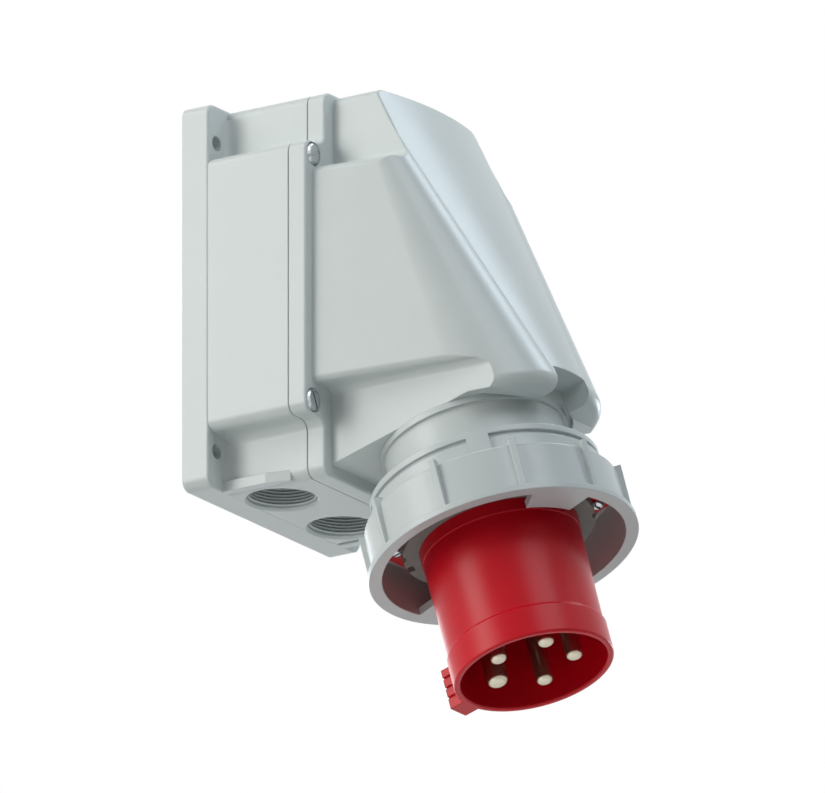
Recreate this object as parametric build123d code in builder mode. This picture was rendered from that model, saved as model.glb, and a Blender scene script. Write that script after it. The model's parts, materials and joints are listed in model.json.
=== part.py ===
from build123d import *
from math import cos, radians, sin, sqrt, tan
import os

# Wall-mounted five-pin industrial inlet with a sloping hood and a bayonet coupling ring.
# Millimetres. The origin is the middle of the wall face. X runs to the right as seen from
# the front, -Y points away from the wall and +Z is up.

# Fits shared by the pieces, and how far joined forms run into each other
fit_gap = 0.05
running_gap = 0.3
moulded_wall = 3.5
overlap = 1.0

# Rear housing
base_width = 124.0
base_height = 183.0
base_depth = 58.0
ear_depth = 14.0
corner_step_width = 15.5
corner_step_height = 26.5
step_cove = 5.5
step_round = 5.0
end_round = 5.1
ear_cove = 4.5
ear_edge_round = 1.0
wall_hole_radius = 3.5
wall_hole_inset = 7.2
wall_hole_end_inset = 18.0
foot_rib_width = 3.0
foot_rib_height = 5.0
foot_rib_length = 35.0
foot_rib_ramp = 12.0

# Threaded cable entries in the bottom of the rear housing
entry_radius = 16.0
entry_spacing = 49.6
entry_from_wall = 29.5
entry_length = 12.0
entry_boss_wall = 4.0
entry_chamfer = 1.2
entry_chamfer_angle = 45.0

# Flange of the front cover, its screws, inserts and seal
flange_depth = 9.6
flange_edge_round = 1.2
shadow_line = 0.5
screw_inset = 6.6
screw_ledge_inset = 6.2
screw_radius = 2.5
screw_clearance = 0.25
screw_head_radius = 5.3
screw_head_height = 3.0
screw_dome_share = 0.7
screw_slot_width = 1.3
screw_slot_depth = 1.4
screw_slot_angle = 25.0
screw_slot_turn = 45.0
screw_seat_radius = 5.6
screw_seat_depth = 2.0
screw_length = 17.0
insert_radius = 3.5
insert_length = 9.0
seal_width = 1.5
seal_thickness = 1.6
seal_inset = 0.8
pillar_reach = 6.0
cavity_corner = 2.5

# Hood of the front cover
hood_inset = 5.0
hood_top_drop = 1.3
hood_top_round = 4.5
hood_upper_step_width = 17.0
hood_upper_ledge_drop = 12.0
hood_upper_cove = 5.5
hood_upper_round = 4.0
hood_lower_step_width = 16.0
hood_lower_ledge_rise = 15.0
hood_lower_cove = 4.0
hood_lower_round = 3.0
hood_side_draft = 7.5
ridge_reach_top = 96.0
ridge_slope = 28.3
flat_side_setback = 10.0
flat_side_slope = 19.2
brow_radius = 157.0
brow_edge_round = 1.0
crease_inset_top = 12.0
crease_half_width_bottom = 4.5
corner_fullness = 0.7071

# Axis of the plug: it points down and away from the wall
plug_tilt = 16.0
mouth_reach = 151.3
mouth_drop = 188.9

# Underside of the hood, measured along the plug axis from the mouth
underside_level = 122.0
plate_thickness = 4.0
lip_drop = 4.8
lip_recess_gap = 2.6
lip_ramp_start = -26.0
lip_ramp_end = -42.0
lip_round = 6.0
front_slot_width = 25.0
front_slot_level = 128.6
front_slot_gap = 1.6

# Neck that carries the plug under the hood
neck_radius = 42.0
neck_wall = 4.0
neck_disc_overhang = 8.8
flange_seal_thickness = 0.6
neck_disc_thickness = 10.4
neck_foot_overhang = 1.4
neck_foot_thickness = 3.0
neck_seal_thickness = 1.0
neck_seal_width = 5.5
neck_seal_inset = 2.5
cable_hole_radius = 25.0
neck_screw_circle = 30.5
neck_screw_count = 4
neck_screw_start = 45.0
neck_screw_length = 12.0
neck_plate_thickness = 5.0

# Contact shroud
shroud_radius = 36.9
shroud_wall = 2.55
shroud_tip_inset = 0.5
shroud_rim_height = 0.5
shroud_rim_length = 14.4
shroud_mouth_round = 1.0
shroud_lip = 1.3
shroud_lip_length = 2.0
shroud_collar_height = 0.4
shroud_collar_length = 6.0
shroud_flange_level = 76.0
shroud_flange_thickness = 4.0
shroud_flange_inset = 4.3
flange_screw_x = 25.0
flange_screw_e = 40.0
flange_edge = 7.5
flange_screw_length = 11.0
flange_screw_radius = 2.0
flange_head_radius = 3.5
flange_head_height = 2.6
key_width = 12.0
key_height = 6.6
key_length = 20.0
key_groove_count = 3
key_groove_pitch = 5.0
key_groove_width = 1.2
key_groove_depth = 1.0
gasket_overhang = 8.1
gasket_thickness = 6.0
gasket_notch_angle = 107.6
gasket_notch_width = 5.0
gasket_notch_depth = 3.5

# Contacts and their carrier
carrier_level = 57.0
carrier_flange_thickness = 3.0
carrier_tower_length = 6.0
carrier_tower_margin = 9.8
pin_circle_radius = 19.7
phase_pin_radius = 4.0
earth_pin_radius = 5.0
pilot_pin_radius = 3.0
pin_recess = 2.5
pilot_recess = 22.0
pin_tip_share = 0.6
pin_undercut = 0.5
terminal_wall = 2.6
terminal_length = 18.0
terminal_screw_radius = 2.5
terminal_screw_length = 6.0
terminal_slot_width = 0.8
wire_bore_depth = 14.0

# Coupling ring
ring_radius = 59.7
ring_wall = 2.7
ring_draft = 0.4
ring_rim_height = 3.3
ring_rim_thickness = 3.0
ring_shoulder_setback = 4.5
ring_shoulder_chamfer = 1.0
ring_skirt_length = 26.0
ring_web_thickness = 2.5
sleeve_wall = 3.05
sleeve_groove_depth = 2.0
sleeve_rim_inset = 0.6
sleeve_rim_length = 3.0
sleeve_groove_length = 2.6
sleeve_lip_length = 8.2
rib_count = 10
rib_offset_angle = 8.5
rib_width = 3.0
rib_height = 2.2
rib_root_inset = 0.5
rib_overrun = 2.0
bayonet_reach = 12.5
bayonet_width_angle = 30.0
bayonet_centre_angle = 63.7
bayonet_thickness = 3.6
wedge_start_angle = 205.0
wedge_width_angle = 11.0
turn_range = 45.0
stop_pad_height = 3.0
stop_pad_angle = 60.0
stop_gap_angle = 0.5

# Places worked out from the sizes above
half_width = base_width / 2
half_height = base_height / 2
cover_front = base_depth + flange_depth
screw_x = half_width - screw_inset
corner_ledge = half_height - corner_step_height
step_x = half_width - corner_step_width
screw_z = corner_ledge - screw_ledge_inset
wall_hole_z = half_height - wall_hole_end_inset
hood_upper_ledge = corner_ledge - hood_upper_ledge_drop
hood_lower_ledge = hood_lower_ledge_rise - corner_ledge
hood_half_width = half_width - hood_inset
crease_half_width_top = hood_half_width - crease_inset_top
hood_top = half_height - hood_top_drop
hood_bottom = -half_height
hood_span = hood_top - hood_bottom
plate_level = underside_level + plate_thickness
lip_level = underside_level - lip_drop
neck_disc_radius = neck_radius + neck_disc_overhang
neck_foot_radius = neck_radius + neck_foot_overhang
neck_bore_radius = neck_radius - neck_wall
shroud_bore_radius = shroud_radius - shroud_wall
shroud_rim_radius = shroud_radius + shroud_rim_height
shroud_tip_radius = shroud_radius - shroud_tip_inset
shroud_collar_radius = shroud_radius + shroud_collar_height
shroud_collar_level = shroud_flange_level - gasket_thickness - shroud_collar_length
shroud_flange_radius = neck_disc_radius - shroud_flange_inset
shroud_rear_level = shroud_flange_level + shroud_flange_thickness
key_reach = shroud_radius + key_height
gasket_radius = shroud_radius + gasket_overhang
neck_disc_level = shroud_rear_level + flange_seal_thickness
neck_disc_end = neck_disc_level + neck_disc_thickness
carrier_tower_radius = pin_circle_radius + carrier_tower_margin
pin_end_level = carrier_level - pin_undercut
ring_bore_radius = ring_radius - ring_wall
ring_rim_radius = ring_radius + ring_rim_height
rib_radius = ring_radius + rib_height
ring_shoulder_level = neck_disc_end - ring_shoulder_setback
ring_front_level = ring_shoulder_level - ring_skirt_length
ring_web_level = ring_shoulder_level - ring_web_thickness
sleeve_bore_radius = neck_disc_radius + running_gap + fit_gap
sleeve_radius = sleeve_bore_radius + sleeve_wall
sleeve_groove_radius = sleeve_radius - sleeve_groove_depth
sleeve_rim_radius = sleeve_radius - sleeve_rim_inset
lip_start = neck_disc_end + running_gap
sleeve_end_level = lip_start + sleeve_lip_length
bayonet_radius = ring_bore_radius - bayonet_reach

# The plug's own directions: along its axis into the hood, and square to it towards the wall
axis_inward = Vector(0, sin(radians(plug_tilt)), cos(radians(plug_tilt)))
axis_wallward = Vector(0, cos(radians(plug_tilt)), -sin(radians(plug_tilt)))
mouth_centre = Vector(0, -mouth_reach, -mouth_drop)
plug_axis = Axis(mouth_centre, axis_inward)
plug_side = Plane(origin=mouth_centre, x_dir=axis_wallward, z_dir=(1, 0, 0))


def front_plane(depth):
    """Plane parallel to the wall, at a depth in front of it, drawn as X and Z."""
    return Plane.XZ.offset(depth)


def plug_plane(level):
    """Plane square to the plug axis, at a level behind the mouth."""
    return Plane(origin=mouth_centre + axis_inward * level, x_dir=(1, 0, 0), z_dir=axis_inward)


def stepped_outline(half_w, top, bottom, upper_step, lower_step):
    """Rectangle whose corners step inwards, as X and Z. A step is its width, ledge and cove."""
    upper_width, upper_ledge, upper_cove = upper_step
    lower_width, lower_ledge, lower_cove = lower_step
    with BuildSketch() as outline:
        with BuildLine():
            Polyline(
                (-half_w, lower_ledge),
                (-half_w, upper_ledge),
                (-half_w + upper_width, upper_ledge),
                (-half_w + upper_width, top),
                (half_w - upper_width, top),
                (half_w - upper_width, upper_ledge),
                (half_w, upper_ledge),
                (half_w, lower_ledge),
                (half_w - lower_width, lower_ledge),
                (half_w - lower_width, bottom),
                (-half_w + lower_width, bottom),
                (-half_w + lower_width, lower_ledge),
                close=True,
            )
        make_face()
        for ledge, cove in ((upper_ledge, upper_cove), (lower_ledge, lower_cove)):
            on_ledge = outline.vertices().filter_by(lambda v: abs(v.Y - ledge) < fit_gap)
            fillet(on_ledge.filter_by(lambda v: abs(v.X) < half_w - overlap), cove)
    return outline.sketch


def round_ends(outline, direction, radius):
    """Outline with the outermost corners rounded, at both ends of a direction."""
    with BuildSketch() as rounded:
        add(outline)
        for end in (0, -1):
            fillet(rounded.vertices().group_by(direction)[end], radius)
    return rounded.sketch


def polar_point(radius, angle):
    """Point at a radius and angle about the sketch origin."""
    return (radius * cos(radians(angle)), radius * sin(radians(angle)))


def sector(inner_radius, outer_radius, start_angle, width_angle):
    """Part of an annulus between two angles, about the sketch origin."""
    with BuildSketch() as piece:
        Circle(outer_radius)
        Circle(inner_radius, mode=Mode.SUBTRACT)
        angles = [start_angle, start_angle + width_angle / 2, start_angle + width_angle]
        with BuildLine():
            Polyline((0, 0), *[polar_point(2 * outer_radius, a) for a in angles], close=True)
        make_face(mode=Mode.INTERSECT)
    return piece.sketch


def hood_section(height, inset, rear):
    """Level cut through the hood: drafted sides, full corners and a shallow brow at the front."""
    fall = hood_top - height
    crease_slope = (crease_half_width_top - crease_half_width_bottom) / hood_span
    crease = crease_half_width_top - crease_slope * fall - inset / 2
    ridge = -ridge_reach_top - fall * tan(radians(ridge_slope)) + inset / cos(radians(ridge_slope))
    shoulder = ridge + brow_radius - sqrt(brow_radius**2 - crease**2)
    flat_reach = ridge_reach_top - flat_side_setback + fall * tan(radians(flat_side_slope))
    side_end = inset - flat_reach

    def side(y):
        draft = (cover_front + y) * tan(radians(hood_side_draft))
        return hood_half_width - inset / cos(radians(hood_side_draft)) + draft

    with BuildSketch(Plane.XY.offset(height)) as section:
        with BuildLine():
            Polyline(
                (-side(side_end), side_end), (-side(rear), rear),
                (side(rear), rear), (side(side_end), side_end),
            )
            ThreePointArc((crease, shoulder), (0, ridge), (-crease, shoulder))
            for hand in (1, -1):
                Bezier(
                    (hand * side(side_end), side_end),
                    (hand * side(shoulder), shoulder),
                    (hand * crease, shoulder),
                    weights=[1, corner_fullness, 1],
                )
        make_face()
    return section.sketch


base_outline = stepped_outline(
    half_width, half_height, -half_height,
    (corner_step_width, corner_ledge, step_cove),
    (corner_step_width, -corner_ledge, step_cove),
)
base_outline = round_ends(round_ends(base_outline, Axis.X, step_round), Axis.Y, end_round)

pillar_side = screw_x - pillar_reach
pillar_level = screw_z - pillar_reach


def cavity_outline(margin):
    """Inside of the walls, less a pillar for the screw in each corner, grown by a margin."""
    grown = margin - moulded_wall
    with BuildSketch() as outline:
        Rectangle(2 * (half_width + grown), 2 * (pillar_level + margin))
        Rectangle(2 * (pillar_side + margin), 2 * (corner_ledge + grown))
        Rectangle(2 * (step_x + grown), 2 * (half_height + grown))
        fillet(outline.vertices(), cavity_corner)
    return outline.sketch


# Rear housing: walls, ears, screw pillars and the two entry bosses
with BuildPart() as rear_housing:
    with BuildSketch(front_plane(0)):
        RectangleRounded(base_width, base_height, end_round)
    extrude(amount=ear_depth)
    ear_sides = (
        rear_housing.edges()
        .filter_by(Axis.Z)
        .filter_by(lambda e: e.center().Y < fit_gap - ear_depth)
    )
    fillet(ear_sides, ear_edge_round)
    with BuildSketch(front_plane(ear_depth)):
        add(base_outline)
    extrude(amount=base_depth - ear_depth)
    for strip_bottom in (end_round - half_height, corner_ledge):
        with BuildSketch(Plane.XY.offset(strip_bottom)):
            with Locations((step_x, -ear_depth)):
                Rectangle(ear_cove, ear_cove, align=(Align.MIN, Align.MAX))
            with Locations((step_x + ear_cove, -ear_depth - ear_cove)):
                Circle(ear_cove, mode=Mode.SUBTRACT)
            mirror(about=Plane.YZ)
        extrude(amount=corner_step_height - end_round)
    rib_end = -ear_depth - foot_rib_length
    with BuildSketch(Plane.XY.offset(-half_height)):
        with BuildLine():
            Polyline(
                (step_x - overlap, overlap - ear_depth),
                (step_x + foot_rib_width, overlap - ear_depth),
                (step_x + foot_rib_width, rib_end + foot_rib_ramp),
                (step_x, rib_end),
                (step_x - overlap, rib_end),
                close=True,
            )
        make_face()
        mirror(about=Plane.YZ)
    extrude(amount=foot_rib_height)
    with BuildSketch(front_plane(moulded_wall)):
        add(cavity_outline(0))
    extrude(amount=base_depth, mode=Mode.SUBTRACT)
    with BuildSketch(Plane.XY.offset(-half_height + moulded_wall / 2)):
        with Locations((-entry_spacing / 2, -entry_from_wall), (entry_spacing / 2, -entry_from_wall)):
            Circle(entry_radius + entry_boss_wall)
    extrude(amount=entry_length - moulded_wall / 2)
    with BuildSketch(Plane.XY.offset(-half_height)):
        with Locations((-entry_spacing / 2, -entry_from_wall), (entry_spacing / 2, -entry_from_wall)):
            Circle(entry_radius)
    extrude(amount=entry_length, mode=Mode.SUBTRACT)
    with BuildSketch(Plane.XY.offset(-half_height)):
        with Locations((-entry_spacing / 2, -entry_from_wall), (entry_spacing / 2, -entry_from_wall)):
            Circle(entry_radius + entry_chamfer)
    extrude(amount=entry_chamfer, taper=entry_chamfer_angle, mode=Mode.SUBTRACT)
    with BuildSketch(front_plane(0)):
        with GridLocations(base_width - 2 * wall_hole_inset, 2 * wall_hole_z, 2, 2):
            Circle(wall_hole_radius)
    extrude(amount=ear_depth, mode=Mode.SUBTRACT)
    with BuildSketch(front_plane(base_depth)):
        with GridLocations(2 * screw_x, 2 * screw_z, 2, 2):
            Circle(insert_radius + fit_gap)
    extrude(amount=-screw_length, mode=Mode.SUBTRACT)
rear_housing.part.label = "rear_housing"

# Outside and inside of the hood, each drawn at the top and bottom and joined by straight lines
hood_outline = stepped_outline(
    hood_half_width, hood_top, -base_height,
    (hood_upper_step_width, hood_upper_ledge, hood_upper_cove),
    (hood_lower_step_width, hood_lower_ledge, hood_lower_cove),
)
hood_outline = round_ends(hood_outline, Axis.Y, hood_top_round)
cavity_step_outline = stepped_outline(
    hood_half_width - moulded_wall, hood_top - moulded_wall, -base_height,
    (hood_upper_step_width, hood_upper_ledge - moulded_wall, hood_upper_cove),
    (hood_lower_step_width, hood_lower_ledge + moulded_wall, hood_lower_cove),
)
outer_rear = -base_depth - moulded_wall
inner_rear = -base_depth + moulded_wall

# Strips that round the outer edges of the ledges along the drafted sides
draft_angle = radians(hood_side_draft)
side_outward = Vector(cos(draft_angle), -sin(draft_angle), 0)
side_forward = Vector(-sin(draft_angle), -cos(draft_angle), 0)
with BuildPart() as ledge_rounds:
    for level, radius, hand in (
        (hood_upper_ledge, hood_upper_round, -1),
        (hood_lower_ledge, hood_lower_round, 1),
    ):
        corner = Plane(
            origin=(hood_half_width, -cover_front, level), x_dir=side_outward, z_dir=side_forward,
        )
        with BuildSketch(corner.offset(-radius)):
            with Locations((-radius / 2 + overlap / 2, hand * (radius / 2 - overlap / 2))):
                Rectangle(radius + overlap, radius + overlap)
            with Locations((-radius, hand * radius)):
                Circle(radius, mode=Mode.SUBTRACT)
        extrude(amount=base_height)
    mirror(about=Plane.YZ)

# Body of the hood: its brow and lip are rounded, and the ramp behind the lip is cut from below
with BuildPart() as hood_body:
    loft(
        [hood_section(hood_top, 0, outer_rear), hood_section(hood_bottom, 0, outer_rear)],
        ruled=True,
    )
    with BuildSketch(front_plane(0)):
        add(hood_outline)
    extrude(amount=base_height * 2, mode=Mode.INTERSECT)
    fillet(hood_body.faces().sort_by(Axis.Z)[-1].edges().filter_by(GeomType.CIRCLE), brow_edge_round)
    add(ledge_rounds.part, mode=Mode.SUBTRACT)
    split(bisect_by=plug_plane(lip_level), keep=Keep.TOP)
    lip_edges = hood_body.faces().sort_by(plug_axis)[0].edges().sort_by(Axis.Y)
    fillet(lip_edges[:3], lip_round)
    with BuildSketch(plug_side.offset(-half_width)):
        with BuildLine():
            Polyline(
                (lip_ramp_start, underside_level),
                (lip_ramp_end, lip_level),
                (lip_ramp_end, lip_level - lip_drop),
                (2 * half_height, lip_level - lip_drop),
                (2 * half_height, underside_level),
                close=True,
            )
        make_face()
    extrude(amount=base_width, mode=Mode.SUBTRACT)

with BuildPart() as hood_cavity:
    loft(
        [
            hood_section(hood_top, moulded_wall, inner_rear),
            hood_section(hood_bottom, moulded_wall, inner_rear),
        ],
        ruled=True,
    )
    with BuildSketch(front_plane(0)):
        add(cavity_step_outline)
    extrude(amount=base_height * 2, mode=Mode.INTERSECT)
    split(bisect_by=plug_plane(plate_level), keep=Keep.TOP)

# Block of wall that is kept behind the front slot
slot_wall_half = front_slot_width / 2 + moulded_wall
slot_depth_limit = -(neck_radius + front_slot_gap)
with BuildPart() as slot_guard:
    with BuildSketch(plug_plane(lip_level)):
        with Locations((0, slot_depth_limit + moulded_wall)):
            Rectangle(2 * slot_wall_half, base_width, align=(Align.CENTER, Align.MAX))
    extrude(amount=front_slot_level + moulded_wall - lip_level)

# Front cover: flange, hood, lip with its slot, cavity and screw seats
with BuildPart() as front_cover:
    with BuildSketch(front_plane(base_depth)):
        add(base_outline)
    extrude(amount=flange_depth)
    fillet(front_cover.faces().sort_by(Axis.Y)[0].edges(), flange_edge_round)
    add(hood_body.part)
    with BuildSketch(plug_plane(underside_level)):
        Circle(neck_foot_radius + lip_recess_gap)
    extrude(amount=-2 * lip_drop, mode=Mode.SUBTRACT)
    add(hood_cavity.part - slot_guard.part, mode=Mode.SUBTRACT)
    with BuildSketch(plug_plane(lip_level - lip_drop)):
        with Locations((0, slot_depth_limit)):
            Rectangle(front_slot_width, base_width, align=(Align.CENTER, Align.MAX))
    extrude(amount=front_slot_level - lip_level + lip_drop, mode=Mode.SUBTRACT)
    with BuildSketch(plug_plane(underside_level)):
        Circle(cable_hole_radius)
        with PolarLocations(neck_screw_circle, neck_screw_count, start_angle=neck_screw_start):
            Circle(screw_radius + screw_clearance)
    extrude(amount=plate_level - underside_level, mode=Mode.SUBTRACT)
    with BuildSketch(front_plane(base_depth)):
        with GridLocations(2 * screw_x, 2 * screw_z, 2, 2):
            Circle(screw_radius + screw_clearance)
    extrude(amount=flange_depth, mode=Mode.SUBTRACT)
    with BuildSketch(front_plane(cover_front - screw_seat_depth)):
        with GridLocations(2 * screw_x, 2 * screw_z, 2, 2):
            Circle(screw_seat_radius)
    extrude(amount=screw_head_height + screw_clearance, mode=Mode.SUBTRACT)
    with BuildSketch(front_plane(base_depth)):
        add(base_outline)
        offset(base_outline, -shadow_line, mode=Mode.SUBTRACT)
    extrude(amount=shadow_line, mode=Mode.SUBTRACT)
    with BuildSketch(front_plane(base_depth)):
        add(cavity_outline(seal_inset + seal_width + fit_gap))
        add(cavity_outline(seal_inset - fit_gap), mode=Mode.SUBTRACT)
    extrude(amount=seal_thickness, mode=Mode.SUBTRACT)
front_cover.part.label = "front_cover"

with BuildPart() as cover_seal:
    with BuildSketch(front_plane(base_depth)):
        add(cavity_outline(seal_inset + seal_width))
        add(cavity_outline(seal_inset), mode=Mode.SUBTRACT)
    extrude(amount=seal_thickness)
cover_seal.part.label = "cover_seal"


def pan_head_screw(seat, shank_radius, shank_length, head_radius, head_height, slot_angle):
    """Slotted pan-head screw. The seat plane points along the screw, out of its head."""
    with BuildPart() as screw:
        with BuildSketch(seat):
            Circle(head_radius)
        extrude(amount=head_height)
        rim = screw.edges().filter_by(GeomType.CIRCLE).sort_by(Axis(seat.origin, seat.z_dir))[-1]
        fillet(rim, head_height * screw_dome_share)
        with BuildSketch(seat):
            Circle(shank_radius)
        extrude(amount=-shank_length)
        with BuildSketch(seat.offset(head_height)):
            Rectangle(2 * head_radius + overlap, screw_slot_width, rotation=slot_angle)
        extrude(amount=-screw_slot_depth, mode=Mode.SUBTRACT)
    return screw.part


screw_places = {
    "upper_left": (-screw_x, screw_z),
    "upper_right": (screw_x, screw_z),
    "lower_left": (-screw_x, -screw_z),
    "lower_right": (screw_x, -screw_z),
}
fasteners = []
for number, (place, (x, z)) in enumerate(screw_places.items()):
    slot_angle = screw_slot_angle + number * screw_slot_turn
    seat = Plane(
        origin=(x, -cover_front + screw_seat_depth, z), x_dir=(1, 0, 0), z_dir=(0, -1, 0),
    )
    screw = pan_head_screw(
        seat, screw_radius, screw_length, screw_head_radius, screw_head_height, slot_angle,
    )
    screw.label = "cover_screw_" + place
    with BuildPart() as insert:
        with BuildSketch(front_plane(base_depth)):
            with Locations((x, z)):
                Circle(insert_radius)
                Circle(screw_radius + fit_gap, mode=Mode.SUBTRACT)
        extrude(amount=-insert_length)
    insert.part.label = "cover_insert_" + place
    fasteners += [screw, insert.part]

# Neck: a disc behind the red flange, a tube and a foot against the hood
neck_ledge_level = shroud_rear_level + carrier_flange_thickness
neck_plate_level = underside_level - neck_plate_thickness
seal_outer = neck_foot_radius - neck_seal_inset
with BuildPart() as inlet_neck:
    with BuildSketch(plug_side):
        with BuildLine():
            Polyline(
                (neck_bore_radius, neck_disc_level),
                (neck_disc_radius, neck_disc_level),
                (neck_disc_radius, neck_disc_end),
                (neck_radius, neck_disc_end),
                (neck_radius, underside_level - neck_foot_thickness),
                (neck_foot_radius, underside_level - neck_foot_thickness),
                (neck_foot_radius, underside_level),
                (seal_outer, underside_level),
                (seal_outer, underside_level - neck_seal_thickness),
                (seal_outer - neck_seal_width, underside_level - neck_seal_thickness),
                (seal_outer - neck_seal_width, underside_level),
                (cable_hole_radius, underside_level),
                (cable_hole_radius, neck_plate_level),
                (neck_bore_radius, neck_plate_level),
                (neck_bore_radius, neck_ledge_level + moulded_wall),
                (neck_bore_radius - moulded_wall, neck_ledge_level + moulded_wall),
                (neck_bore_radius - moulded_wall, neck_ledge_level),
                (neck_bore_radius, neck_ledge_level),
                close=True,
            )
        make_face()
    revolve(axis=plug_axis)
    with BuildSketch(plug_plane(neck_plate_level)):
        with PolarLocations(neck_screw_circle, neck_screw_count, start_angle=neck_screw_start):
            Circle(screw_radius + moulded_wall)
    extrude(amount=neck_plate_thickness - neck_screw_length)
    with BuildSketch(plug_plane(neck_disc_end)):
        pad_reach = neck_radius + stop_pad_height
        add(sector(neck_radius - overlap, pad_reach, -stop_pad_angle / 2, stop_pad_angle))
        add(sector(neck_radius - overlap, pad_reach, 180 - stop_pad_angle / 2, stop_pad_angle))
    extrude(amount=sleeve_end_level - neck_disc_end - sleeve_rim_length)
    with BuildSketch(plug_plane(underside_level)):
        with PolarLocations(neck_screw_circle, neck_screw_count, start_angle=neck_screw_start):
            Circle(screw_radius + fit_gap)
    extrude(amount=-neck_screw_length, mode=Mode.SUBTRACT)
    with BuildSketch(plug_plane(neck_disc_level)):
        with GridLocations(2 * flange_screw_x, 2 * flange_screw_e, 2, 2):
            Circle(flange_screw_radius + fit_gap)
    extrude(amount=flange_screw_length, mode=Mode.SUBTRACT)
inlet_neck.part.label = "inlet_neck"

with BuildPart() as neck_seal:
    with BuildSketch(plug_plane(underside_level)):
        Circle(seal_outer - fit_gap)
        Circle(seal_outer - neck_seal_width + fit_gap, mode=Mode.SUBTRACT)
    extrude(amount=-neck_seal_thickness)
neck_seal.part.label = "neck_seal"

neck_screws = []
for number in range(neck_screw_count):
    angle = neck_screw_start + number * 360 / neck_screw_count
    middle = polar_point(neck_screw_circle, angle)
    plate = plug_plane(plate_level)
    seat = plate.shift_origin(plate.from_local_coords((*middle, 0)))
    screw = pan_head_screw(
        seat, screw_radius, neck_screw_length, screw_head_radius, screw_head_height, angle,
    )
    screw.label = f"neck_screw_{number + 1}"
    neck_screws.append(screw)

# Contact shroud: a long tube with a thick rim, a key on its wall side and a flange
flange_width = 2 * (flange_screw_x + flange_edge)
flange_height = 2 * (flange_screw_e + flange_edge)
with BuildPart() as contact_shroud:
    with BuildSketch(plug_side):
        with BuildLine():
            Polyline(
                (shroud_bore_radius, 0),
                (shroud_rim_radius, 0),
                (shroud_rim_radius, shroud_rim_length),
                (shroud_tip_radius, shroud_rim_length + shroud_lip),
                (shroud_radius, shroud_collar_level),
                (shroud_collar_radius, shroud_collar_level),
                (shroud_collar_radius, shroud_rear_level),
                (shroud_bore_radius, shroud_rear_level),
                (shroud_bore_radius, carrier_level),
                (shroud_bore_radius - shroud_lip, carrier_level),
                (shroud_bore_radius - shroud_lip, carrier_level - shroud_lip_length),
                (shroud_bore_radius, carrier_level - shroud_lip_length - shroud_lip),
                close=True,
            )
        make_face()
    revolve(axis=plug_axis)
    rims = contact_shroud.edges().group_by(Axis(mouth_centre, axis_inward))[0]
    fillet(rims, shroud_mouth_round)
    with BuildSketch(plug_plane(shroud_flange_level)):
        RectangleRounded(flange_width, flange_height, flange_edge)
        Circle(shroud_flange_radius)
        Circle(shroud_bore_radius + overlap, mode=Mode.SUBTRACT)
        with GridLocations(2 * flange_screw_x, 2 * flange_screw_e, 2, 2):
            Circle(flange_screw_radius + fit_gap, mode=Mode.SUBTRACT)
    extrude(amount=shroud_flange_thickness)
    with BuildSketch(plug_plane(0)):
        with Locations((0, shroud_radius - overlap)):
            Rectangle(key_width, key_height + overlap, align=(Align.CENTER, Align.MIN))
    extrude(amount=key_length)
    for groove in range(key_groove_count):
        with BuildSketch(plug_plane((groove + 1) * key_groove_pitch)):
            with GridLocations(key_width, 0, 2, 1):
                with Locations((0, (key_reach + shroud_rim_radius) / 2)):
                    Rectangle(2 * key_groove_depth, key_reach - shroud_rim_radius)
        extrude(amount=key_groove_width, mode=Mode.SUBTRACT)
contact_shroud.part.label = "contact_shroud"

with BuildPart() as flange_seal:
    with BuildSketch(plug_plane(shroud_rear_level)):
        Circle(neck_disc_radius)
        Circle(neck_bore_radius + fit_gap, mode=Mode.SUBTRACT)
        with GridLocations(2 * flange_screw_x, 2 * flange_screw_e, 2, 2):
            Circle(flange_screw_radius + fit_gap, mode=Mode.SUBTRACT)
    extrude(amount=flange_seal_thickness)
flange_seal.part.label = "flange_seal"

with BuildPart() as mating_gasket:
    with BuildSketch(plug_plane(shroud_flange_level)):
        Circle(gasket_radius)
        Circle(shroud_collar_radius + fit_gap, mode=Mode.SUBTRACT)
        for side in (gasket_notch_angle, 180 - gasket_notch_angle):
            with Locations(polar_point(gasket_radius, side)):
                Rectangle(
                    2 * gasket_notch_depth, gasket_notch_width, rotation=side, mode=Mode.SUBTRACT,
                )
        with GridLocations(2 * flange_screw_x, 2 * flange_screw_e, 2, 2):
            Circle(flange_head_radius + running_gap, mode=Mode.SUBTRACT)
    extrude(amount=-gasket_thickness)
mating_gasket.part.label = "mating_gasket"

flange_screws = []
flange_face = plug_plane(shroud_flange_level)
for number, (side_x, side_e) in enumerate(((1, 1), (-1, 1), (-1, -1), (1, -1)), start=1):
    corner = flange_face.from_local_coords((side_x * flange_screw_x, side_e * flange_screw_e, 0))
    seat = Plane(origin=corner, x_dir=(1, 0, 0), z_dir=-axis_inward)
    screw = pan_head_screw(
        seat, flange_screw_radius, flange_screw_length, flange_head_radius, flange_head_height,
        number * screw_slot_turn,
    )
    screw.label = f"flange_screw_{number}"
    flange_screws.append(screw)

# Contacts: name, radius, place round the axis, distance from it and setback from the mouth
contact_angles = {"earth": 90, "neutral": 162, "line_1": 234, "line_2": 306, "line_3": 18}
contact_radii = dict.fromkeys(contact_angles, phase_pin_radius) | {"earth": earth_pin_radius}
contacts = [
    (name, contact_radii[name], angle, pin_circle_radius, pin_recess)
    for name, angle in contact_angles.items()
]
contacts.append(("pilot", pilot_pin_radius, 270, 0, pilot_recess))
barrel_level = carrier_level + carrier_tower_length + moulded_wall
carrier_rear = neck_ledge_level + carrier_tower_length
barrel_end = carrier_rear + terminal_length
terminal_screw_level = barrel_end - wire_bore_depth / 2

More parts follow.
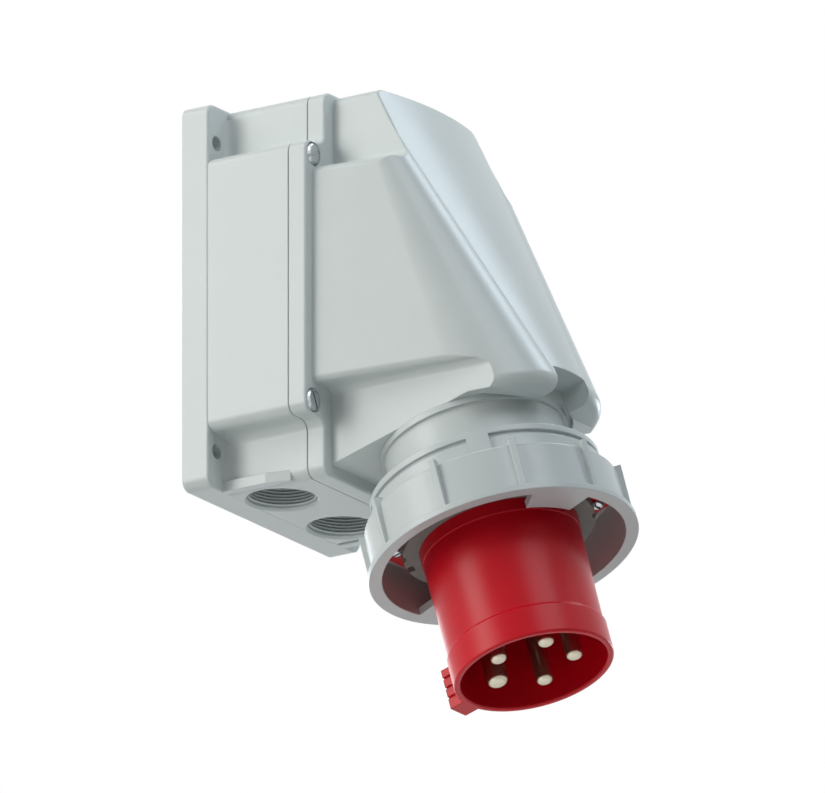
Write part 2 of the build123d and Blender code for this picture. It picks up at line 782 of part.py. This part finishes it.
contact_parts = []
for name, radius, angle, circle_radius, recess in contacts:
    barrel_radius = radius + terminal_wall
    middle = polar_point(circle_radius, angle)
    outward = Vector(1, 0, 0) * cos(radians(angle)) + axis_wallward * sin(radians(angle))
    screw_start = plug_plane(terminal_screw_level).from_local_coords((*middle, 0)) + outward * radius
    screw_plane = Plane(origin=screw_start, x_dir=axis_inward, z_dir=outward)
    with BuildPart() as pin:
        with BuildSketch(plug_plane(recess)):
            with Locations(middle):
                Circle(radius)
        extrude(amount=pin_end_level - recess)
        tip = pin.edges().filter_by(GeomType.CIRCLE).sort_by(plug_axis)[0]
        fillet(tip, radius * pin_tip_share)
        with BuildSketch(plug_plane(pin_end_level)):
            with Locations(middle):
                Circle(radius - pin_undercut)
        extrude(amount=barrel_level - pin_end_level)
        with BuildSketch(plug_plane(barrel_level)):
            with Locations(middle):
                Circle(barrel_radius)
        extrude(amount=barrel_end - barrel_level)
        with BuildSketch(plug_plane(barrel_end)):
            with Locations(middle):
                Circle(radius)
        extrude(amount=-wire_bore_depth, mode=Mode.SUBTRACT)
        with BuildSketch(screw_plane):
            Circle(terminal_screw_radius + fit_gap)
        extrude(amount=barrel_radius, mode=Mode.SUBTRACT)
    pin.part.label = "pin_" + name
    with BuildPart() as terminal_screw:
        with BuildSketch(screw_plane.offset(running_gap)):
            Circle(terminal_screw_radius)
        extrude(amount=terminal_screw_length)
        with BuildSketch(screw_plane.offset(running_gap + terminal_screw_length)):
            Rectangle(2 * terminal_screw_radius + overlap, terminal_slot_width)
        extrude(amount=-screw_slot_depth, mode=Mode.SUBTRACT)
    terminal_screw.part.label = "terminal_screw_" + name
    contact_parts += [pin.part, terminal_screw.part]

with BuildPart() as contact_carrier:
    with BuildSketch(plug_plane(carrier_level)):
        Circle(shroud_bore_radius - fit_gap)
    extrude(amount=shroud_rear_level - carrier_level)
    with BuildSketch(plug_plane(shroud_rear_level)):
        Circle(neck_bore_radius - running_gap)
    extrude(amount=carrier_flange_thickness)
    with BuildSketch(plug_plane(neck_ledge_level)):
        Circle(carrier_tower_radius)
    extrude(amount=carrier_tower_length)
    for name, radius, angle, circle_radius, recess in contacts:
        with BuildSketch(plug_plane(carrier_level)):
            with Locations(polar_point(circle_radius, angle)):
                Circle(radius - pin_undercut + fit_gap)
        extrude(amount=barrel_level - carrier_level, mode=Mode.SUBTRACT)
        with BuildSketch(plug_plane(barrel_level)):
            with Locations(polar_point(circle_radius, angle)):
                Circle(radius + terminal_wall + fit_gap)
        extrude(amount=carrier_rear - barrel_level, mode=Mode.SUBTRACT)
contact_carrier.part.label = "contact_carrier"

# Coupling ring: turned form first, then its ribs, bayonet lugs, wedges and stop lugs
lip_bore_radius = neck_radius + stop_pad_height + running_gap
rim_start = sleeve_end_level - sleeve_rim_length
groove_start = rim_start - sleeve_groove_length
rib_root_radius = ring_bore_radius + rib_root_inset
with BuildPart() as coupling_ring:
    with BuildSketch(plug_side):
        with BuildLine():
            Polyline(
                (ring_bore_radius, ring_front_level),
                (ring_rim_radius, ring_front_level),
                (ring_rim_radius, ring_front_level + ring_rim_thickness),
                (ring_radius + ring_draft, ring_front_level + ring_rim_thickness),
                (ring_radius - ring_draft, ring_shoulder_level - ring_shoulder_chamfer),
                (ring_radius - ring_draft - ring_shoulder_chamfer, ring_shoulder_level),
                (sleeve_radius, ring_shoulder_level),
                (sleeve_radius, groove_start),
                (sleeve_groove_radius, groove_start),
                (sleeve_groove_radius, rim_start),
                (sleeve_rim_radius, rim_start),
                (sleeve_rim_radius, sleeve_end_level),
                (lip_bore_radius, sleeve_end_level),
                (lip_bore_radius, lip_start),
                (sleeve_bore_radius, lip_start),
                (sleeve_bore_radius, ring_web_level),
                (ring_bore_radius, ring_web_level),
                close=True,
            )
        make_face()
    revolve(axis=plug_axis)
    with BuildSketch(plug_plane(ring_front_level + ring_rim_thickness / 2)):
        with PolarLocations(rib_root_radius, rib_count, start_angle=rib_offset_angle):
            Rectangle(rib_radius - rib_root_radius, rib_width, align=(Align.MIN, Align.CENTER))
    extrude(amount=ring_skirt_length + rib_overrun - ring_rim_thickness / 2)
    with BuildSketch(plug_plane(ring_front_level)):
        for centre in (bayonet_centre_angle, bayonet_centre_angle + 180):
            start = centre - bayonet_width_angle / 2
            add(sector(bayonet_radius, ring_bore_radius + overlap, start, bayonet_width_angle))
    extrude(amount=bayonet_thickness)
    with BuildSketch(plug_plane(ring_shoulder_level)):
        for start in (wedge_start_angle, wedge_start_angle + 180):
            add(sector(sleeve_groove_radius - overlap, sleeve_radius + overlap, start, wedge_width_angle))
    extrude(amount=rim_start - ring_shoulder_level)
    lug_angle = 180 - stop_pad_angle - turn_range - 2 * stop_gap_angle
    with BuildSketch(plug_plane(lip_start)):
        for start in (0, 180):
            lug_start = start + stop_pad_angle / 2 + stop_gap_angle
            reach = lip_bore_radius + overlap
            add(sector(neck_radius + running_gap, reach, lug_start, lug_angle))
    extrude(amount=sleeve_end_level - lip_start)
coupling_ring.part.label = "coupling_ring"

os.makedirs("parts", exist_ok=True)
pieces = [
    rear_housing.part, front_cover.part, cover_seal.part, inlet_neck.part, neck_seal.part,
    contact_shroud.part, flange_seal.part, mating_gasket.part, contact_carrier.part,
    coupling_ring.part,
]
pieces += fasteners + neck_screws + flange_screws + contact_parts
for piece in pieces:
    export_step(piece, f"parts/{piece.label}.step")
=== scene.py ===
import json
from math import cos, pi, radians, sin

import bmesh
import bpy
from mathutils import Matrix, Vector


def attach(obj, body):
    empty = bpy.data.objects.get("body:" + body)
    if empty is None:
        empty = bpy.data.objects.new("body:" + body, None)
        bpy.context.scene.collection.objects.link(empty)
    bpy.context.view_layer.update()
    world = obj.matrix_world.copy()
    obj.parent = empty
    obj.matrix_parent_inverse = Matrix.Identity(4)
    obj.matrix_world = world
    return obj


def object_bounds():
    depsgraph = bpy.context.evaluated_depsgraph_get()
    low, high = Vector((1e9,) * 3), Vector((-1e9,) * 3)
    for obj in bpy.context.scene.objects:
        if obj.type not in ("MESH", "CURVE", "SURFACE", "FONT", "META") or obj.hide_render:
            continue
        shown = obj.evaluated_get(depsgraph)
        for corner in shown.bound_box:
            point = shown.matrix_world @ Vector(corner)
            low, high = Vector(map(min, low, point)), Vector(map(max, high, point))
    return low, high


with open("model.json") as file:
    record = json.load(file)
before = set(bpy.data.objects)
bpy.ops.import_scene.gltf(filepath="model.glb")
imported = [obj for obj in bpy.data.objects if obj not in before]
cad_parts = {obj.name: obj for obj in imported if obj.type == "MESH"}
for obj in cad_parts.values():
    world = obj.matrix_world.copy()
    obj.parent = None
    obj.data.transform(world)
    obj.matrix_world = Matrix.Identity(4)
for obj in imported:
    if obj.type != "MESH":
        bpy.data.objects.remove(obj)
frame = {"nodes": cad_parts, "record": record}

bl_info = {
    "name": "Industrial Wall Inlet Finish",
    "version": (1, 0, 0),
    "blender": (4, 5, 0),
    "location": "View3D > Sidebar > Inlet",
    "description": "Dresses a five-pin industrial wall inlet with its finishes and small details",
    "category": "Object",
}

CAD_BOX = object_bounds()
MM = 0.001

SHEEN_PATCH = 25 * MM  # width of the patches in the sheen of a moulded wall
SHEEN_SPREAD = 0.05  # how far the roughness departs from its middle value
BLOOM_PATCH = 6 * MM  # width of the dusty patches on an elastomer

THREAD_ROOT_SHARE = 0.46  # half the width of the thread's root over its pitch
THREAD_CREST_SHARE = 0.15  # width of its crest over that of its root
THREAD_SINK = 0.05 * MM  # depth of its root inside the wall of the bore
THREAD_STEPS_PER_TURN = 72

FLOOR_HALF_WIDTH = 6.0
FLOOR_DROP = 0.9  # from the lowest point of the inlet
CAMERA_DISTANCE = 1.2
CAMERA_SHIFT_RIGHT = 0.0699  # from the origin to the middle of the picture
CAMERA_SHIFT_DOWN = 0.0285

# Place from the middle of the inlet, width, power and colour of each square lamp.
LAMPS = {
    "left_softbox": ((-1.2, 0.65, 0.1), 0.7, 6.9, "#FFFFFA"),
    "rear_high_softbox": ((-0.8, 0.8, 0.8), 0.9, 6.9, "#FDFFFC"),
    "front_high_softbox": ((-0.4, -0.9, 1.0), 0.8, 6.4, "#EEF6FC"),
    "right_high_softbox": ((0.68, -0.5, 1.1), 0.4, 4.8, "#DFF0FA"),
    "right_softbox": ((1.35, -0.15, 0.12), 0.4, 4.5, "#DFF0FA"),
    "rear_right_softbox": ((1.0, 0.95, 0.2), 0.9, 5.0, "#EEF6FC"),
    "low_fill": ((-0.85, 0.1, -1.05), 0.9, 1.6, "#FFFFFF"),
}


def linear_colour(hex_colour):
    """Linear RGBA from an sRGB hex string."""
    channels = [int(hex_colour[i:i + 2], 16) / 255 for i in (1, 3, 5)]
    return [c / 12.92 if c <= 0.04045 else ((c + 0.055) / 1.055) ** 2.4 for c in channels] + [1.0]


def colour_property(name, description, hex_colour):
    """Colour swatch whose default is an sRGB hex colour."""
    return bpy.props.FloatVectorProperty(
        name=name, description=description, subtype="COLOR", size=4, min=0.0, max=1.0,
        default=linear_colour(hex_colour),
    )


def length_property(name, description, millimetres):
    """Length in metres whose default is written in millimetres."""
    return bpy.props.FloatProperty(
        name=name, description=description, default=millimetres * MM, min=0.0,
        subtype="DISTANCE", unit="LENGTH",
    )


class InletFinishSettings(bpy.types.PropertyGroup):
    """Colours, mould grain and edge rounding of the inlet's materials."""
    housing_colour: colour_property("Housing", "Light grey of the moulded housing", "#CDD3D2")
    ring_colour: colour_property("Ring", "Light grey of the coupling ring", "#CBD1D1")
    shroud_colour: colour_property("Shroud", "Signal red of the contact shroud", "#D0041C")
    carrier_colour: colour_property("Carrier", "Dark red of the contact carrier", "#8A0D16")
    seal_colour: colour_property("Seals", "Grey of the elastomer seals", "#7A7B76")
    nickel_colour: colour_property("Contacts", "Warm grey of nickel plating", "#C4BBA8")
    zinc_colour: colour_property("Screws", "Blue white of bright zinc plating", "#C2C6C9")
    brass_colour: colour_property("Inserts", "Yellow of turned brass", "#C9A25A")
    mould_grain: length_property("Mould grain", "Size of the eroded grain of the mould", 0.9)
    edge_round: length_property("Edge rounding", "Radius that softens the moulded edges", 0.7)


class InletThreadSettings(bpy.types.PropertyGroup):
    """Sizes of the thread in the cable entries."""
    pitch: length_property("Pitch", "Rise of one turn of the entry thread", 1.5)
    depth: length_property("Depth", "Height of the thread above the bore", 0.9)
    turns: bpy.props.IntProperty(
        name="Turns", description="Turns of thread in each cable entry", default=6, min=1,
    )
    start: bpy.props.FloatProperty(
        name="Start", description="Direction round the bore in which the thread starts",
        default=radians(225.0), subtype="ANGLE", unit="ROTATION",
    )


class InletStageSettings(bpy.types.PropertyGroup):
    """Light levels and camera of the studio."""
    azimuth: bpy.props.FloatProperty(
        name="Azimuth", description="Camera angle round the inlet", default=radians(-55.9),
        subtype="ANGLE", unit="ROTATION",
    )
    elevation: bpy.props.FloatProperty(
        name="Elevation", description="Camera angle above the horizon", default=radians(-18.0),
        subtype="ANGLE", unit="ROTATION",
    )
    frame_width: length_property("Frame width", "Width that the camera sees", 375.0)
    floor_colour: colour_property("Floor", "Pale floor far below the inlet", "#F4F4F2")
    floor_glow: bpy.props.FloatProperty(
        name="Floor glow", description="Light that the floor adds for rays that see the backdrop",
        default=0.6, min=0.0,
    )
    ambient: bpy.props.FloatProperty(
        name="Ambient", description="Strength of the even studio light", default=0.16, min=0.0,
    )


def add_node(tree, kind, values=None, links=None, **settings):
    """Adds a node, sets its properties and socket values, and links its inputs."""
    node = tree.nodes.new(kind)
    for key, value in settings.items():
        setattr(node, key, value)
    for socket, value in (values or {}).items():
        node.inputs[socket].default_value = value
    for socket, source in (links or {}).items():
        tree.links.new(source, node.inputs[socket])
    return node


def new_material(name):
    """Empty node material with a Principled shader on its output."""
    material = bpy.data.materials.new(name)
    material.use_nodes = True
    tree = material.node_tree
    tree.nodes.clear()
    shader = add_node(tree, "ShaderNodeBsdfPrincipled")
    add_node(tree, "ShaderNodeOutputMaterial", links={"Surface": shader.outputs["BSDF"]})
    return material, tree, shader


def moulded_plastic(name, colour, roughness, settings, grain_strength=0.05, gloss=0.4):
    """Injection-moulded polyamide: satin, with the faint grain of an eroded mould.

    The grain is drawn at about a millimetre, coarser than the real one, so that it shows.
    Broad soft patches in colour and roughness give the uneven sheen of a cooled thick wall.
    """
    material, tree, shader = new_material(name)
    shader.inputs["Base Color"].default_value = colour
    shader.inputs["IOR"].default_value = 1.53
    shader.inputs["Specular IOR Level"].default_value = gloss
    place = add_node(tree, "ShaderNodeTexCoord").outputs["Object"]
    patches = add_node(
        tree, "ShaderNodeTexNoise", {"Scale": 1 / SHEEN_PATCH, "Detail": 2.0}, {"Vector": place},
    )
    shade = add_node(
        tree, "ShaderNodeMapRange", {"To Min": 0.96, "To Max": 1.04},
        {"Value": patches.outputs["Fac"]},
    )
    tint = add_node(
        tree, "ShaderNodeHueSaturation", {"Color": colour}, {"Value": shade.outputs["Result"]},
    )
    tree.links.new(tint.outputs["Color"], shader.inputs["Base Color"])
    sheen = add_node(
        tree, "ShaderNodeMapRange",
        {"To Min": roughness - SHEEN_SPREAD, "To Max": roughness + SHEEN_SPREAD},
        {"Value": patches.outputs["Fac"]},
    )
    tree.links.new(sheen.outputs["Result"], shader.inputs["Roughness"])
    grain = add_node(
        tree, "ShaderNodeTexNoise", {"Scale": 1 / settings.mould_grain, "Detail": 3.0},
        {"Vector": place},
    )
    rounding = add_node(tree, "ShaderNodeBevel", {"Radius": settings.edge_round}, samples=6)
    bump = add_node(
        tree, "ShaderNodeBump", {"Strength": grain_strength, "Distance": 0.1 * MM},
        {"Height": grain.outputs["Fac"], "Normal": rounding.outputs["Normal"]},
    )
    tree.links.new(bump.outputs["Normal"], shader.inputs["Normal"])
    return material


def elastomer(name, colour):
    """Moulded elastomer: matt, soft-looking, with a dusty bloom in broad patches."""
    material, tree, shader = new_material(name)
    shader.inputs["IOR"].default_value = 1.52
    place = add_node(tree, "ShaderNodeTexCoord").outputs["Object"]
    bloom = add_node(
        tree, "ShaderNodeTexNoise", {"Scale": 1 / BLOOM_PATCH, "Detail": 4.0}, {"Vector": place},
    )
    shade = add_node(
        tree, "ShaderNodeMapRange", {"To Min": 0.85, "To Max": 1.15},
        {"Value": bloom.outputs["Fac"]},
    )
    tint = add_node(
        tree, "ShaderNodeHueSaturation", {"Color": colour}, {"Value": shade.outputs["Result"]},
    )
    tree.links.new(tint.outputs["Color"], shader.inputs["Base Color"])
    shader.inputs["Roughness"].default_value = 0.7
    bump = add_node(
        tree, "ShaderNodeBump", {"Strength": 0.15, "Distance": 0.1 * MM},
        {"Height": bloom.outputs["Fac"]},
    )
    tree.links.new(bump.outputs["Normal"], shader.inputs["Normal"])
    return material


def plated_metal(name, colour, roughness, scratch_length):
    """Plated or turned metal: bright, with fine tool marks that blur its reflections."""
    material, tree, shader = new_material(name)
    shader.inputs["Base Color"].default_value = colour
    shader.inputs["Metallic"].default_value = 1.0
    place = add_node(tree, "ShaderNodeTexCoord").outputs["Object"]
    marks = add_node(
        tree, "ShaderNodeTexNoise", {"Scale": 1 / scratch_length, "Detail": 5.0},
        {"Vector": place},
    )
    sheen = add_node(
        tree, "ShaderNodeMapRange", {"To Min": roughness * 0.7, "To Max": roughness * 1.4},
        {"Value": marks.outputs["Fac"]},
    )
    tree.links.new(sheen.outputs["Result"], shader.inputs["Roughness"])
    rounding = add_node(tree, "ShaderNodeBevel", {"Radius": 0.25 * MM}, samples=4)
    bump = add_node(
        tree, "ShaderNodeBump", {"Strength": 0.06, "Distance": 0.05 * MM},
        {"Height": marks.outputs["Fac"], "Normal": rounding.outputs["Normal"]},
    )
    tree.links.new(bump.outputs["Normal"], shader.inputs["Normal"])
    return material


def dress(node_names, material):
    """Gives a material to CAD nodes."""
    for name in node_names:
        slots = frame["nodes"][name].data.materials
        if slots:
            slots[0] = material
        else:
            slots.append(material)


def nodes_starting(*prefixes):
    """Names of the CAD nodes that start with one of the prefixes."""
    return [name for name in frame["nodes"] if name.startswith(prefixes)]


def object_from(bm, name, material, body):
    """Turns a bmesh into a piece that rides on a body."""
    mesh = bpy.data.meshes.new(name)
    bm.to_mesh(mesh)
    bm.free()
    mesh.materials.append(material)
    piece = bpy.data.objects.new(name, mesh)
    bpy.context.scene.collection.objects.link(piece)
    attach(piece, body)


def backdrop_rays(tree):
    """One for the camera's, glossy and transmitted rays, which see the backdrop, else zero."""
    path = add_node(tree, "ShaderNodeLightPath")
    total = path.outputs["Is Camera Ray"]
    for kind in ("Is Glossy Ray", "Is Transmission Ray"):
        total = add_node(
            tree, "ShaderNodeMath", None, {0: total, 1: path.outputs[kind]},
            operation="ADD", use_clamp=True,
        ).outputs["Value"]
    return total


class FinishHousing(bpy.types.Operator):
    """Gives the housing, cover and neck their light grey moulded finish"""
    bl_idname = "inlet.finish_housing"
    bl_label = "Finish Housing"

    def execute(self, context):
        settings = context.scene.inlet_finish
        plastic = moulded_plastic(
            "light_grey_polyamide", settings.housing_colour, roughness=0.33, settings=settings,
        )
        dress(["rear_housing", "front_cover", "inlet_neck"], plastic)
        return {"FINISHED"}


class FinishRing(bpy.types.Operator):
    """Gives the coupling ring its grey moulded finish"""
    bl_idname = "inlet.finish_ring"
    bl_label = "Finish Ring"

    def execute(self, context):
        settings = context.scene.inlet_finish
        plastic = moulded_plastic(
            "grey_ring_polyamide", settings.ring_colour, roughness=0.3, settings=settings,
        )
        dress(["coupling_ring"], plastic)
        return {"FINISHED"}


class FinishShroud(bpy.types.Operator):
    """Gives the shroud and the contact carrier their red finishes"""
    bl_idname = "inlet.finish_shroud"
    bl_label = "Finish Shroud"

    def execute(self, context):
        settings = context.scene.inlet_finish
        red = moulded_plastic(
            "signal_red_polyamide", settings.shroud_colour, roughness=0.33, settings=settings,
            grain_strength=0.03, gloss=0.25,
        )
        dark = moulded_plastic(
            "dark_red_polyamide", settings.carrier_colour, roughness=0.5, settings=settings,
            gloss=0.25,
        )
        dress(["contact_shroud"], red)
        dress(["contact_carrier"], dark)
        return {"FINISHED"}


class FinishMetal(bpy.types.Operator):
    """Gives contacts, screws and inserts their metal finishes"""
    bl_idname = "inlet.finish_metal"
    bl_label = "Finish Metal"

    def execute(self, context):
        settings = context.scene.inlet_finish
        nickel = plated_metal(
            "nickel_plated_brass", settings.nickel_colour, roughness=0.3, scratch_length=0.8 * MM,
        )
        zinc = plated_metal(
            "bright_zinc_steel", settings.zinc_colour, roughness=0.18, scratch_length=1.2 * MM,
        )
        brass = plated_metal(
            "turned_brass", settings.brass_colour, roughness=0.3, scratch_length=0.6 * MM,
        )
        dress(nodes_starting("pin_"), nickel)
        dress(nodes_starting("cover_screw", "neck_screw", "flange_screw", "terminal_screw"), zinc)
        dress(nodes_starting("cover_insert"), brass)
        return {"FINISHED"}


class FinishSeals(bpy.types.Operator):
    """Gives the seals and the mating gasket their elastomer finish"""
    bl_idname = "inlet.finish_seals"
    bl_label = "Finish Seals"

    def execute(self, context):
        rubber = elastomer("dark_grey_elastomer", context.scene.inlet_finish.seal_colour)
        dress(["cover_seal", "neck_seal", "flange_seal", "mating_gasket"], rubber)
        return {"FINISHED"}


class CutEntryThreads(bpy.types.Operator):
    """Adds the turns of thread inside both cable entries"""
    bl_idname = "inlet.cut_entry_threads"
    bl_label = "Cut Entry Threads"

    def execute(self, context):
        settings = context.scene.inlet_thread
        plastic = bpy.data.materials["light_grey_polyamide"]
        for mount in frame["record"]["mounts"]:
            if mount["kind"] != "threaded_hole":
                continue
            bore = mount["dims"]["r_mm"] * MM
            middle = Vector(mount["pos_m"])
            bm = bmesh.new()
            rise = settings.pitch * settings.turns
            start = middle - Vector((0, 0, rise / 2))
            root = settings.pitch * THREAD_ROOT_SHARE
            crest = root * THREAD_CREST_SHARE
            rows = [
                (THREAD_SINK, -root), (-settings.depth, -crest),
                (-settings.depth, crest), (THREAD_SINK, root),
            ]
            corners = [bm.verts.new(start + Vector((bore + out, 0, up))) for out, up in rows]
            profile = bm.faces.new(corners)
            bmesh.ops.rotate(
                bm, verts=corners, cent=start, matrix=Matrix.Rotation(settings.start, 3, "Z"),
            )
            bmesh.ops.spin(
                bm, geom=[profile], cent=start, axis=(0, 0, 1), angle=2 * pi * settings.turns,
                dvec=(0, 0, settings.pitch / THREAD_STEPS_PER_TURN),
                steps=THREAD_STEPS_PER_TURN * settings.turns, use_merge=False,
            )
            bmesh.ops.recalc_face_normals(bm, faces=bm.faces)
            object_from(bm, mount["name"] + "_thread", plastic, "housing")
        return {"FINISHED"}


class BuildStage(bpy.types.Operator):
    """Builds the pale floor, the even studio light, the lamps and the camera"""
    bl_idname = "inlet.build_stage"
    bl_label = "Build Stage"

    def execute(self, context):
        scene = context.scene
        settings = scene.inlet_stage
        scene.view_settings.view_transform = "Standard"
        self.add_floor(scene, settings)
        self.add_world(scene, settings)
        self.add_camera(scene, settings)
        target = (CAD_BOX[0] + CAD_BOX[1]) / 2
        for name, (place, size, power, hex_colour) in LAMPS.items():
            data = bpy.data.lights.new(name, "AREA")
            data.shape = "SQUARE"
            data.size = size
            data.energy = power
            data.color = linear_colour(hex_colour)[:3]
            lamp = bpy.data.objects.new(name, data)
            lamp.location = target + Vector(place)
            lamp.rotation_euler = (-Vector(place)).to_track_quat("-Z", "Y").to_euler()
            scene.collection.objects.link(lamp)
        return {"FINISHED"}

    def add_floor(self, scene, settings):
        """Pale matt floor, far enough down to leave low views free."""
        material, tree, shader = new_material("pale_studio_floor")
        shader.inputs["Base Color"].default_value = settings.floor_colour
        shader.inputs["Roughness"].default_value = 0.9
        level = add_node(
            tree, "ShaderNodeMath", {1: settings.floor_glow}, {0: backdrop_rays(tree)},
            operation="MULTIPLY",
        )
        glow = add_node(
            tree, "ShaderNodeEmission", {"Color": settings.floor_colour},
            {"Strength": level.outputs["Value"]},
        )
        lit = add_node(
            tree, "ShaderNodeAddShader", None,
            {0: shader.outputs["BSDF"], 1: glow.outputs["Emission"]},
        )
        tree.links.new(lit.outputs["Shader"], tree.nodes["Material Output"].inputs["Surface"])
        bm = bmesh.new()
        bmesh.ops.create_grid(bm, x_segments=1, y_segments=1, size=FLOOR_HALF_WIDTH)
        bmesh.ops.translate(bm, verts=bm.verts, vec=(0, 0, CAD_BOX[0].z - FLOOR_DROP))
        mesh = bpy.data.meshes.new("studio_floor")
        bm.to_mesh(mesh)
        bm.free()
        mesh.materials.append(material)
        floor = bpy.data.objects.new("studio_floor", mesh)
        scene.collection.objects.link(floor)

    def add_world(self, scene, settings):
        """White backdrop for the rays that see it, and an even dim light for all others."""
        world = bpy.data.worlds.new("studio_light")
        scene.world = world
        world.use_nodes = True
        tree = world.node_tree
        tree.nodes.clear()
        even = add_node(
            tree, "ShaderNodeBackground",
            {"Color": (0.95, 0.98, 1.0, 1.0), "Strength": settings.ambient},
        )
        white = add_node(tree, "ShaderNodeBackground", {"Color": (1, 1, 1, 1), "Strength": 1.0})
        mix = add_node(
            tree, "ShaderNodeMixShader", None,
            {
                0: backdrop_rays(tree),
                1: even.outputs["Background"],
                2: white.outputs["Background"],
            },
        )
        add_node(tree, "ShaderNodeOutputWorld", None, {"Surface": mix.outputs["Shader"]})

    def add_camera(self, scene, settings):
        """Parallel view from below the inlet and its left, close to the photo's long lens."""
        azimuth, elevation = settings.azimuth, settings.elevation
        back = Vector((
            sin(azimuth) * cos(elevation), -cos(azimuth) * cos(elevation), sin(elevation),
        ))
        right = Vector((cos(azimuth), sin(azimuth), 0))
        up = back.cross(right)
        data = bpy.data.cameras.new("photo_camera")
        data.type = "ORTHO"
        data.ortho_scale = settings.frame_width
        data.clip_start = 0.05
        data.clip_end = 20.0
        camera = bpy.data.objects.new("photo_camera", data)
        target = right * CAMERA_SHIFT_RIGHT - up * CAMERA_SHIFT_DOWN
        camera.matrix_world = (
            Matrix.Translation(target + back * CAMERA_DISTANCE)
            @ Matrix((right, up, back)).transposed().to_4x4()
        )
        scene.collection.objects.link(camera)
        scene.camera = camera


OPERATORS = (
    BuildStage, FinishHousing, FinishRing, FinishShroud, FinishMetal, FinishSeals, CutEntryThreads,
)


class InletPanel(bpy.types.Panel):
    """Lists the inlet's settings and steps in the sidebar"""
    bl_idname = "VIEW3D_PT_inlet"
    bl_label = "Inlet"
    bl_space_type = "VIEW_3D"
    bl_region_type = "UI"
    bl_category = "Inlet"

    def draw(self, context):
        for name in ("inlet_finish", "inlet_thread", "inlet_stage"):
            group = getattr(context.scene, name)
            for field in group.bl_rna.properties:
                if field.identifier not in ("rna_type", "name"):
                    self.layout.prop(group, field.identifier)
        for operator in OPERATORS:
            self.layout.operator(operator.bl_idname)


SETTINGS = {
    "inlet_finish": InletFinishSettings,
    "inlet_thread": InletThreadSettings,
    "inlet_stage": InletStageSettings,
}


def register():
    for group in SETTINGS.values():
        bpy.utils.register_class(group)
    for name, group in SETTINGS.items():
        setattr(bpy.types.Scene, name, bpy.props.PointerProperty(type=group))
    for operator in OPERATORS:
        bpy.utils.register_class(operator)
    bpy.utils.register_class(InletPanel)


def unregister():
    bpy.utils.unregister_class(InletPanel)
    for operator in reversed(OPERATORS):
        bpy.utils.unregister_class(operator)
    for name in SETTINGS:
        delattr(bpy.types.Scene, name)
    for group in reversed(SETTINGS.values()):
        bpy.utils.unregister_class(group)


def main():
    register()
    for operator in OPERATORS:
        step = operator.bl_idname.split(".")[1]
        getattr(bpy.ops.inlet, step)()


if __name__ == "__main__":
    main()
